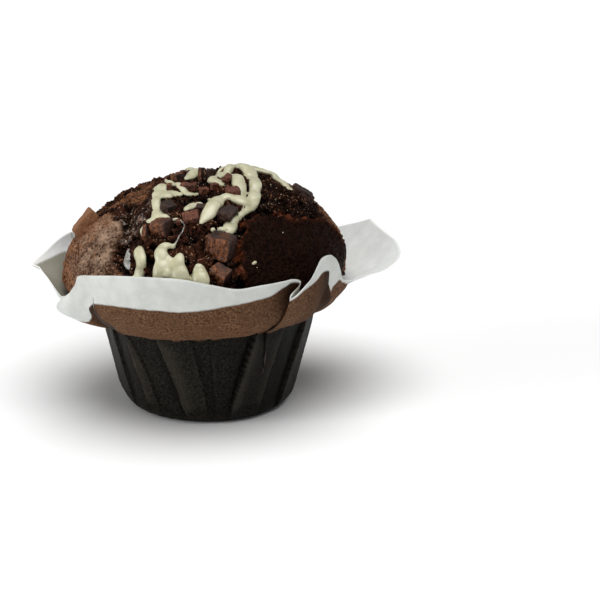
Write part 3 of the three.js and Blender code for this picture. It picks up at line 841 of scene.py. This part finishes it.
def clear_of_crumb(sheet, layer):
    """Moves the collar out of the crumb's lip where it would lie inside it, outer layers a little more."""
    clearance = 1.2 + 0.6 * np.clip(layer, 0, 1)
    azimuth = np.degrees(np.arctan2(sheet[..., 1], sheet[..., 0]))
    height = sheet[..., 2]
    low = np.clip((CROWN_Z - height) / (CROWN_Z - FOLD_Z), 0, 1)
    lip = (ARC >= DOME_ARC) & (ARC <= NECK_ARC)
    level = height - low * (fold_height(azimuth) - FOLD_Z)
    least = np.interp(level, PROFILE_Z[lip][::-1], PROFILE_R[lip][::-1]) + clearance
    radius = np.hypot(sheet[..., 0], sheet[..., 1])
    push = np.where((level > FOLD_Z + 1) & (height < CROWN_Z + 4), np.maximum(least / radius, 1), 1)
    return sheet * np.stack([push, push, np.ones_like(push)], axis=-1)


def cup_rows(fold, layer):
    """Rows of points from the middle of the base up to the fold, and how far each stands out as pleats."""
    foot = untangled(fold)
    fold_z = fold_height(fold)
    rows = [polar(foot, radius, 0.0) for radius in np.linspace(0.4, BASE_R, BASE_ROWS)]
    pleats = [0 * foot] * BASE_ROWS
    for angle in np.linspace(0, np.pi / 2, CORNER_ROWS + 1)[1:]:
        height = CORNER_Z * (1 - math.cos(angle))
        radius = BASE_R + (CORNER_R - BASE_R) * math.sin(angle) ** 0.9
        pleats.append(cup_relief(foot, height / FOLD_Z))
        rows.append(polar(foot, radius + pleats[-1] + cup_shift(foot, 0), height))
    for share in np.linspace(0, 1, WALL_ROWS + 1)[1:]:
        azimuth = mix(foot, fold, share**1.5)
        height = mix(CORNER_Z, fold_z, share)
        pleats.append(cup_relief(azimuth, height / fold_z))
        radius = mix(CORNER_R, FOLD_R, share) + pleats[-1] + layer * share**4
        rows.append(polar(azimuth, radius + cup_shift(azimuth, share), height))
    return rows, pleats


def build_case():
    """The sheet of the case as rows of points from the base up, with each point's distance along the sheet
    above the fold and below the free edge, and the masks that its materials need."""
    edge, middle, fold, layer, white, soak = columns_of_case()
    rows, pleats = cup_rows(fold, layer)
    below = len(rows)
    start = rows[-1]
    for t in np.linspace(0, 1, COLLAR_ROWS + 1)[1:]:
        rows.append((1 - t) ** 2 * start + 2 * t * (1 - t) * middle + t * t * edge)
        pleats.append(0 * fold)
    sheet = clear_of_crumb(np.array(rows), layer)

    steps = np.linalg.norm(np.diff(sheet, axis=0), axis=2)
    along = np.concatenate([np.zeros((1, CASE_COLUMNS)), np.cumsum(steps, axis=0)])
    band = along - along[below - 1]
    border = along[-1] - along
    edge_azimuth = np.degrees(np.arctan2(edge[:, 1], edge[:, 0]))
    from_crease = np.abs(turned_from(edge_azimuth, LEFT_CREASE))
    pale_rim = np.where(from_crease < 24, 0.4 + 0.27 * from_crease, -1)
    on_leaf = np.abs(turned_from(edge_azimuth, LEFT_LEAF)) < LEFT_LEAF_REACH
    doubled_back = np.convolve(np.pad(np.gradient(fold) < 0, 3, mode="wrap"), np.ones(7), "valid") > 0
    masks = {
        "white": white,
        # darkening, partly by soaked-in fat and partly painted shade in the folds and on the left leaf's
        # flap, kept clear of a strip along the free edge near the left crease
        "soak": np.clip(soak, 0, 1) * smoothstep(-0.5, 0.5, border - pale_rim),
        # painted shade on the inside of the layers tucked back in the folds
        "tuck_shade": doubled_back * smoothstep(0, 2.5, border - np.maximum(white, 3)),
        "lit_through": on_leaf * smoothstep(12, 6, border),
        "pleat": np.array(pleats),
        # painted shade: the cup darker towards +x, the side away from the window light
        "cup_right_shade": smoothstep(-2, 26, sheet[..., 0]),
    }
    return sheet, band, border, masks


def sheet_normals(sheet):
    down = np.gradient(sheet, axis=0)
    around = np.roll(sheet, -1, axis=1) - np.roll(sheet, 1, axis=1)
    return unit(np.cross(around, down))


def crumples(sheet, band):
    """How far the crumpled paper stands out of its smooth shape: waves in the collar, creases in the cup."""
    collar = smoothstep(0, 6, band)
    soft = 0.28 * fractal(sheet, 11, 2, 71) + 0.1 * fractal(sheet, 3.5, 2, 72)
    crushed = np.exp(-((np.linalg.norm(sheet - CRUMPLE_SPOT, axis=2) / CRUMPLE_REACH) ** 2))
    creased = (0.2 + 0.5 * crushed) * fractal(sheet * np.array([1, 1, 0.5]), 4, 3, 73)
    creased += 0.35 * fractal(sheet * np.array([1, 1, 0.35]), 9, 2, 74)
    return (soft * collar + creased * (1 - collar)) * smoothstep(1, 7, sheet[..., 2])


def case_faces(rows, columns):
    """Faces of the closed thin case, and the number of each one's material: 1 on the inside and rim, else 0.

    The points are the outer sheet row by row, the inner one, and the base's middle outside and inside."""
    index = np.arange(rows * columns).reshape(rows, columns)
    beside = np.roll(index, -1, axis=1)
    shift = rows * columns
    outer = np.stack([index[:-1], beside[:-1], beside[1:], index[1:]], axis=-1).reshape(-1, 4)
    inner = outer[:, ::-1] + shift
    rim = np.stack([index[-1], beside[-1], beside[-1] + shift, index[-1] + shift], axis=-1)
    base = np.stack([beside[0], index[0], 0 * index[0] + 2 * shift], axis=-1)
    base_inside = np.stack([index[0] + shift, beside[0] + shift, 0 * index[0] + 2 * shift + 1], axis=-1)
    faces = [*outer, *inner, *rim, *base, *base_inside]
    kinds = np.zeros(len(faces), dtype=np.int32)
    kinds[len(outer):len(outer) + len(inner) + len(rim)] = 1
    return faces, kinds


def build_paper():
    sheet, band, border, masks = build_case()
    normals = sheet_normals(sheet)
    outwards = 1 if np.sum(normals * sheet * np.array([1, 1, 0]), axis=2).mean() > 0 else -1
    sheet = sheet + outwards * normals * crumples(sheet, band)[..., None]
    inner = sheet - outwards * sheet_normals(sheet) * PAPER
    inner[:BASE_ROWS, :, 2] = PAPER
    points = np.concatenate([sheet.reshape(-1, 3), inner.reshape(-1, 3), [[0, 0, 0]], [[0, 0, PAPER]]])
    faces, kinds = case_faces(*band.shape)
    obj = make_mesh("case", points, faces)
    for key, values in {"band": band, "border": border, **masks}.items():
        both_sides = np.tile(np.broadcast_to(values, band.shape).ravel(), 2)
        middle = {"band": -30, "border": 60}.get(key, 0)
        add_attribute(obj, key, np.append(both_sides, [middle, middle]))
    return obj, kinds


paper, paper_kinds = build_paper()
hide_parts("paper_case")
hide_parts("muffin_crumb")


# ---- Materials ----
def srgb(red, green, blue):
    """A colour given as 0 to 255 on screen, as the linear colour that a shader takes."""
    shares = [c / 255 for c in (red, green, blue)]
    return (*(c / 12.92 if c < 0.0404 else ((c + 0.055) / 1.055) ** 2.4 for c in shares), 1)


class Nodes:
    """A short way to write a node material."""

    def __init__(self, name):
        self.material = bpy.data.materials.new(name)
        self.material.use_nodes = True
        self.tree = self.material.node_tree
        self.shader = self.tree.nodes["Principled BSDF"]
        self.position = self.add("ShaderNodeNewGeometry").outputs["Position"]

    def add(self, kind, inputs=None, **settings):
        """A new node with these settings, and with its inputs joined or set by name or number."""
        node = self.tree.nodes.new(kind)
        for key, value in settings.items():
            setattr(node, key, value)
        for key, source in (inputs or {}).items():
            self.link(source, node.inputs[key])
        return node

    def link(self, source, target):
        """Joins an input to another node's output, or gives it a value. Colours are given as on screen."""
        if hasattr(source, "is_output"):
            self.tree.links.new(source, target)
        else:
            target.default_value = srgb(*source) if target.type == "RGBA" else source

    def attribute(self, name):
        return self.add("ShaderNodeAttribute", attribute_name=name).outputs["Fac"]

    def noise(self, size, detail=3.0, roughness=0.55, stretch=(1, 1, 1)):
        """Noise from 0 to 1 with lumps about size millimetres across."""
        place = self.add("ShaderNodeVectorMath", {0: self.position, 1: stretch}, operation="MULTIPLY")
        inputs = {"Vector": place.outputs[0], "Scale": 1 / (size * MM), "Detail": detail}
        return self.add("ShaderNodeTexNoise", inputs | {"Roughness": roughness}).outputs["Fac"]

    def spots(self, size):
        """Distance to scattered points about size millimetres apart."""
        inputs = {"Vector": self.position, "Scale": 1 / (size * MM)}
        return self.add("ShaderNodeTexVoronoi", inputs).outputs["Distance"]

    def math(self, operation, a, b, clamp=False):
        return self.add("ShaderNodeMath", {0: a, 1: b}, operation=operation, use_clamp=clamp).outputs[0]

    def times(self, a, b, clamp=False):
        return self.math("MULTIPLY", a, b, clamp)

    def ramp(self, value, low, high, from_value=0.0, to_value=1.0):
        inputs = {"Value": value, "From Min": low, "From Max": high}
        inputs |= {"To Min": from_value, "To Max": to_value}
        return self.add("ShaderNodeMapRange", inputs, interpolation_type="SMOOTHSTEP").outputs["Result"]

    def mottle(self, size, detail, low=0.3, high=0.7, from_value=0.0, to_value=1.0):
        """A ramp over noise, as soft patches about size millimetres across."""
        return self.ramp(self.noise(size, detail), low, high, from_value, to_value)

    def blend(self, share, low, high):
        return self.add("ShaderNodeMix", {"Factor": share, 6: low, 7: high}, data_type="RGBA").outputs[2]

    def layers(self, color, *layers):
        """Lays colours over the first one in turn, each with its share."""
        for share, layer in layers:
            color = self.blend(share, color, layer)
        return color

    def bump(self, height, distance, strength):
        inputs = {"Distance": distance * MM, "Strength": strength, "Height": height}
        return self.add("ShaderNodeBump", inputs).outputs["Normal"]

    def finish(self, color, roughness, **inputs):
        """Sets the shader's inputs, whose names have underscores here for spaces."""
        for key, source in {"Base_Color": color, "Roughness": roughness, **inputs}.items():
            self.link(source, self.shader.inputs[key.replace("_", " ")])
        return self.material


def crumb_material():
    """Dark brown right plate, pale left plate, mid brown elsewhere, and nearly black open crumb between,
    with painted sheen on the left plate, painted glints and sparkles, and painted shade in low places and
    holes.
    """
    n = Nodes("baked_crumb")
    keys = ("open", "relief", "pit_shade", "dry_and_sheen", "baked", "open_crumb_right_shade", "moist", "torn_edge")
    opened, relief, pit_shade, dry_and_sheen, baked, open_crumb_right_shade, moist, torn_edge = (n.attribute(key) for key in keys)
    grain = n.noise(0.8, 2, 0.6)
    fine = n.ramp(grain, 0.34, 0.64, -0.45, 0.45)
    # lumps and high make the crumb darker in its low places and lighter on its tops, as painted shade and
    # light, over real grain from fine
    lumps = n.ramp(relief, -0.7, 0.7, 0.15, 0.85)
    high = n.math("ADD", lumps, fine, clamp=True)
    patches = n.math("ADD", lumps, n.mottle(6, 3, 0.3, 0.7, -0.3, 0.35))
    patchy = n.math("ADD", patches, n.times(fine, 0.65), clamp=True)
    crumbs = n.times(n.ramp(relief, -0.1, 0.5), n.math("ADD", opened, n.times(dry_and_sheen, 0.4)))
    # painted glints on the raised crumbs
    painted_glisten = n.times(crumbs, n.mottle(0.9, 1, 0.6, 0.7), clamp=True)
    # painted sheen: grey on the raised moist lumps
    painted_wet_sheen = n.times(n.times(moist, n.ramp(relief, -0.2, 0.4)), n.mottle(1.3, 2, 0.46, 0.6))
    # painted shade: dark specks for the pore holes, off the right plate
    pore_shade = n.times(n.ramp(n.spots(1.8), 0.2, 0.12), n.math("SUBTRACT", 1, baked))
    # painted sparkles: pale specks standing in for tiny glints on the open crumb
    painted_sparkles = n.times(n.mottle(0.6, 1, 0.66, 0.72), n.mottle(4, 2, 0.46, 0.6))
    color = n.layers(
        n.blend(high, (42, 23, 14), (138, 94, 66)),
        # the pale left plate: floury crust colour with painted sheen of the window light
        (dry_and_sheen, n.blend(patchy, (64, 43, 31), (158, 132, 111))),
        (baked, n.blend(high, (7, 2, 1), (34, 17, 10))),
        (opened, n.blend(high, (3, 1, 0), (54, 28, 17))),
        (moist, n.blend(high, (6, 3, 2), (58, 38, 28))),
        # painted shade on the open crumb's right side
        (n.times(open_crumb_right_shade, 0.6), (8, 4, 2)),
        # painted glints on the raised crumbs
        (painted_glisten, (136, 96, 72)),
        # painted sheen: grey on the raised moist lumps
        (painted_wet_sheen, (168, 158, 148)),
        (n.times(torn_edge, high), (104, 50, 28)),
        # painted shade in the crumb's holes and crevices
        (n.ramp(pit_shade, 0.1, 0.8), (4, 2, 1)),
        # painted shade in the pore holes
        (n.times(pore_shade, 0.85), (22, 10, 6)),
        # painted sparkles on the open crumb
        (n.times(painted_sparkles, opened), (200, 178, 156)),
    )
    roughness = n.ramp(n.noise(0.9, 2, 0.6), 0.35, 0.6, 0.35, 0.75)
    return n.finish(color, roughness, Normal=n.bump(grain, 0.5, 1.0), Specular_IOR_Level=0.03)


def chocolate_material():
    """Smooth dark faces, dusty broken ones that are also lighter as painted light, and the redder, blacker
    and paler pieces, the paler one partly lit by painted rim light.
    """
    n = Nodes("broken_chocolate")
    broken, dark, red, pale = (n.attribute(key) for key in ("broken", "dark", "red", "pale"))
    grain = n.noise(0.8, 5, 0.65, (1.5, 1.5, 0.6))
    color = n.layers(
        n.blend(n.mottle(2.5, 3), (30, 15, 10), (58, 32, 22)),
        # broken faces: dusty, and lighter as painted light on the side facing the lamps
        (broken, n.blend(n.ramp(grain, 0.38, 0.7), (56, 28, 15), (150, 92, 54))),
        (n.times(red, 0.75), n.blend(n.ramp(grain, 0.36, 0.66), (52, 22, 14), (128, 72, 50))),
        (n.times(dark, 0.85), n.blend(n.ramp(grain, 0.36, 0.7), (22, 11, 8), (56, 32, 23))),
        # the pale piece: its own paler colour, and painted rim light
        (pale, n.blend(n.ramp(grain, 0.2, 0.8), (108, 69, 43), (146, 100, 66))),
    )
    roughness = n.ramp(grain, 0.3, 0.7, 0.4, 0.7)
    return n.finish(color, roughness, Normal=n.bump(grain, 0.35, 0.8), Specular_IOR_Level=0.35)


def icing_material():
    """Ivory, and watery grey where it is thin."""
    n = Nodes("set_white_icing")
    ivory = n.blend(n.mottle(4, 2), (182, 179, 146), (202, 199, 170))
    watery = n.blend(n.mottle(1.5, 2), (132, 130, 124), (186, 184, 180))
    color = n.blend(n.attribute("thin"), ivory, watery)
    normal = n.bump(n.noise(1.4, 2), 0.12, 0.5)
    glow = {"Subsurface_Weight": 0.25, "Subsurface_Radius": (0.0022, 0.0017, 0.0011)}
    return n.finish(color, 0.34, Normal=normal, Coat_Weight=0.15, **glow)


def outer_paper_material():
    """Brown print with a bare white border on the collar, darker in the folds partly as stain and partly as
    painted shade, and black greasy paper on the cup, with painted shade on its right and in its grooves and
    painted highlights on its pleats.
    """
    n = Nodes("printed_paper")
    keys = ("band", "border", "white", "soak", "pleat", "cup_right_shade")
    band, border, white, soak, pleat, cup_right_shade = (n.attribute(key) for key in keys)
    fibre = n.noise(0.62, 2, 0.6)
    edge = n.math("SUBTRACT", n.math("SUBTRACT", white, border), n.times(n.noise(2.5, 3), 0.6))
    brown = n.layers(
        n.blend(n.ramp(fibre, 0.3, 0.7), (62, 40, 25), (122, 90, 66)),
        (n.mottle(7, 2, 0.35, 0.7, 0.0, 0.5), (88, 62, 44)),
        # darker brown where fat soaked in and, in the folds, as painted shade
        (n.times(soak, 0.85), (38, 22, 14)),
    )
    pale = n.blend(n.mottle(6, 3), (201, 203, 198), (214, 216, 212))
    collar = n.blend(n.ramp(edge, -0.6, 0.2), brown, pale)
    cup = n.layers(
        n.blend(n.ramp(fibre, 0.34, 0.7), (0, 0, 0), (39, 36, 28)),
        # painted shade on the cup's right side
        (n.times(cup_right_shade, 0.6), (2, 2, 1)),
        # painted highlights on the pleats' raised edges and painted shade in their grooves
        (n.ramp(pleat, 0.7, 1.7, 0.0, 0.4), (70, 66, 56)),
        (n.ramp(pleat, 0.2, -0.7, 0.0, 0.85), (0, 0, 0)),
    )
    above_fold = n.ramp(n.math("ADD", band, n.mottle(3.5, 3, 0.3, 0.7, -1.2, 1.0)), -0.6, 0.4)
    color = n.blend(above_fold, cup, collar)
    normal = n.bump(n.noise(0.35, 3, 0.6), 0.15, 0.9)
    roughness = n.ramp(above_fold, 0, 1, 0.55, 0.8)
    return n.finish(color, roughness, Normal=normal, Specular_IOR_Level=0.08)


def inner_paper_material():
    """White paper, stained where it is soaked and grey as painted shade on the left leaf's flap, dark below
    the crumb, and dark as painted shade in the folds.
    """
    n = Nodes("plain_paper")
    band, soak, lit_through, tuck_shade = (n.attribute(key) for key in ("band", "soak", "lit_through", "tuck_shade"))
    color = n.blend(n.mottle(6, 3), (226, 228, 225), (238, 240, 237))
    # grey where fat soaked in and, on the left leaf's folded flap, as painted shade
    color = n.blend(soak, color, (150, 147, 133))
    above_fold = n.ramp(n.math("ADD", band, n.mottle(4, 3, 0.3, 0.7, -3, 3)), 2, 9)
    color = n.blend(above_fold, (28, 24, 18), color)
    color = n.blend(n.times(lit_through, n.math("SUBTRACT", 1, soak)), color, (251, 252, 250))
    # painted shade in the tucked folds
    color = n.blend(tuck_shade, color, (40, 27, 18))
    return n.finish(color, 0.75, Normal=n.bump(n.noise(0.35, 3, 0.6), 0.1, 0.4))


crumb.data.materials.append(crumb_material())
paper.data.materials.append(outer_paper_material())
paper.data.materials.append(inner_paper_material())
paper.data.polygons.foreach_set("material_index", paper_kinds)
for material, pieces in ((chocolate_material(), chocolate), (icing_material(), icing)):
    for piece in pieces:
        piece.data.materials.append(material)

for slot, pieces in {"crumb": [crumb], "paper": [paper], "chocolate": chocolate, "icing": icing}.items():
    for piece in pieces:
        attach(piece, "root")


# ---- Floor, light and camera ----
def add_floor():
    half = 3000
    corners = [(-half, -half, 0), (half, -half, 0), (half, half, 0), (-half, half, 0)]
    floor = make_mesh("floor", corners, [(0, 1, 2, 3)])
    n = Nodes("pale_floor")
    floor.data.materials.append(n.finish((250, 250, 250), 0.9))


def add_aimed(name, data, towards, axis):
    """A light or camera, turned so that its axis points towards a direction."""
    obj = bpy.data.objects.new(name, data)
    obj.rotation_mode = "QUATERNION"
    obj.rotation_quaternion = Vector(towards).to_track_quat(axis, "Y")
    collection.objects.link(obj)
    return obj


def add_sun(name, towards, strength, softness):
    """A far soft light that shines from the direction towards."""
    light = bpy.data.lights.new(name, "SUN")
    light.energy = strength
    light.angle = math.radians(softness)
    add_aimed(name, light, towards, "Z")


def add_camera():
    """110 mm lens, 17 degrees above the table, with the muffin left of the middle of the picture."""
    elevation = math.radians(17)
    distance = 600
    middle = Vector((0, 0, 38))
    place = middle + Vector((0, -math.cos(elevation), math.sin(elevation))) * distance
    target = Vector((30.894, 0, 32.787))
    data = bpy.data.cameras.new("camera")
    data.lens = 110
    data.sensor_width = 36
    camera = add_aimed("camera", data, target - place, "-Z")
    camera.location = place * MM
    bpy.context.scene.camera = camera


def add_world(strength):
    world = bpy.data.worlds.new("studio")
    world.use_nodes = True
    background = world.node_tree.nodes["Background"]
    background.inputs["Color"].default_value = (1, 1, 1, 1)
    background.inputs["Strength"].default_value = strength
    bpy.context.scene.world = world


add_floor()
add_sun("key", (0.08, -0.18, 0.98), 2.6, 55)
add_sun("window", (-0.93, -0.3, 0.2), 1.4, 30)
add_world(0.22)
add_camera()
bpy.context.scene.view_settings.view_transform = "Standard"
